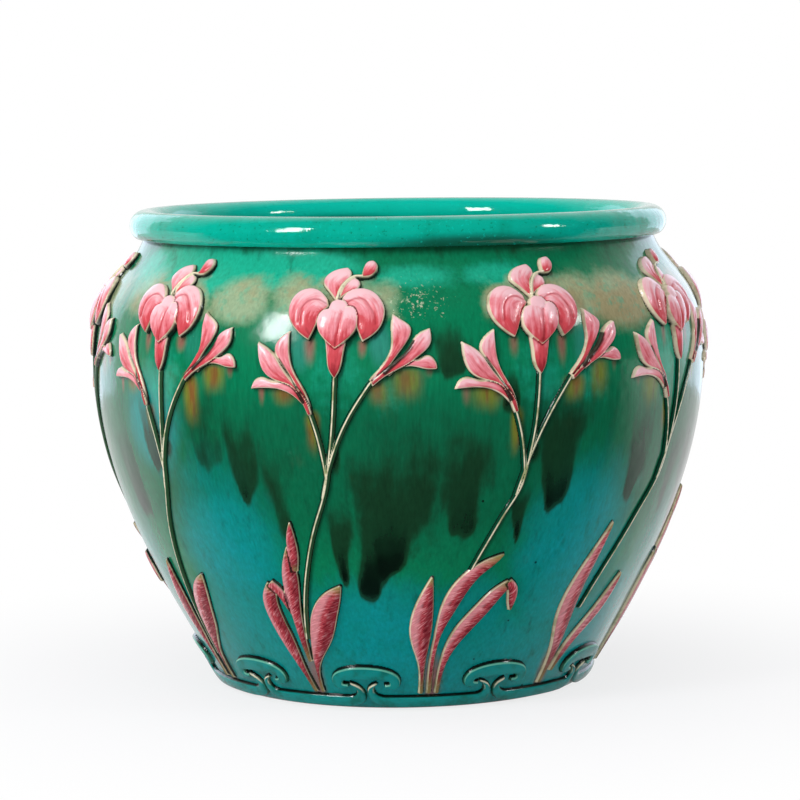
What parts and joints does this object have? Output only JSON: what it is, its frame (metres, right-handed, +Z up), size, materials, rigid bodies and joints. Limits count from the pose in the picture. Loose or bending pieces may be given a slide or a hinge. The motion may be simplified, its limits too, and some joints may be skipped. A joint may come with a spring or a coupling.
{
  "type": "flower pot",
  "caption": "Round-bellied glazed earthenware flower pot with a rolled rim, relief flower sprays and a scrolled foot.",
  "frame": {"origin": "centre of the foot on the ground", "axes": "+Z up along the pot's axis; -Y towards the first spray"},
  "size_m": [0.4064, 0.4072, 0.3114],
  "materials": {
    "green_glaze": "glossy mottled green and teal glaze with darker drips",
    "rim_glaze": "glossy emerald glaze, lighter on the lip",
    "pink_glaze": "glossy pink glaze, deeper red where it pools and cream on edges",
    "crimson_glaze": "glossy crimson glaze with pale veins and edges",
    "stem_glaze": "glossy thin yellow-green glaze over pale clay",
    "turquoise_glaze": "glossy turquoise-green glaze with pale ridges"
  },
  "bodies": {
    "root": {"body_wall": "green_glaze", "floor_disc": "green_glaze", "rim_roll": "rim_glaze", "foot_straps": "turquoise_glaze", "scroll_cap_01": "turquoise_glaze", "scroll_cap_02": "turquoise_glaze", "scroll_cap_03": "turquoise_glaze", "scroll_cap_04": "turquoise_glaze", "scroll_cap_05": "turquoise_glaze", "scroll_cap_06": "turquoise_glaze", "scroll_cap_07": "turquoise_glaze", "scroll_cap_08": "turquoise_glaze", "scroll_cap_09": "turquoise_glaze", "scroll_cap_10": "turquoise_glaze", "flower_head_01": "pink_glaze", "flower_head_02": "pink_glaze", "flower_head_03": "pink_glaze", "flower_head_04": "pink_glaze", "flower_head_05": "pink_glaze", "flower_head_06": "pink_glaze", "flower_head_07": "pink_glaze", "flower_head_08": "pink_glaze", "flower_head_09": "pink_glaze", "flower_head_10": "pink_glaze", "side_blossoms_01": "pink_glaze", "side_blossoms_02": "pink_glaze", "side_blossoms_03": "pink_glaze", "side_blossoms_04": "pink_glaze", "side_blossoms_05": "pink_glaze", "side_blossoms_06": "pink_glaze", "side_blossoms_07": "pink_glaze", "side_blossoms_08": "pink_glaze", "side_blossoms_09": "pink_glaze", "side_blossoms_10": "pink_glaze", "stems_01": "stem_glaze", "stems_02": "stem_glaze", "stems_03": "stem_glaze", "stems_04": "stem_glaze", "stems_05": "stem_glaze", "stems_06": "stem_glaze", "stems_07": "stem_glaze", "stems_08": "stem_glaze", "stems_09": "stem_glaze", "stems_10": "stem_glaze", "leaf_tuft_01": "crimson_glaze", "leaf_tuft_02": "crimson_glaze", "leaf_tuft_03": "crimson_glaze", "leaf_tuft_04": "crimson_glaze", "leaf_tuft_05": "crimson_glaze", "leaf_tuft_06": "crimson_glaze", "leaf_tuft_07": "crimson_glaze", "leaf_tuft_08": "crimson_glaze", "leaf_tuft_09": "crimson_glaze", "leaf_tuft_10": "crimson_glaze"}
  },
  "joints": []
}
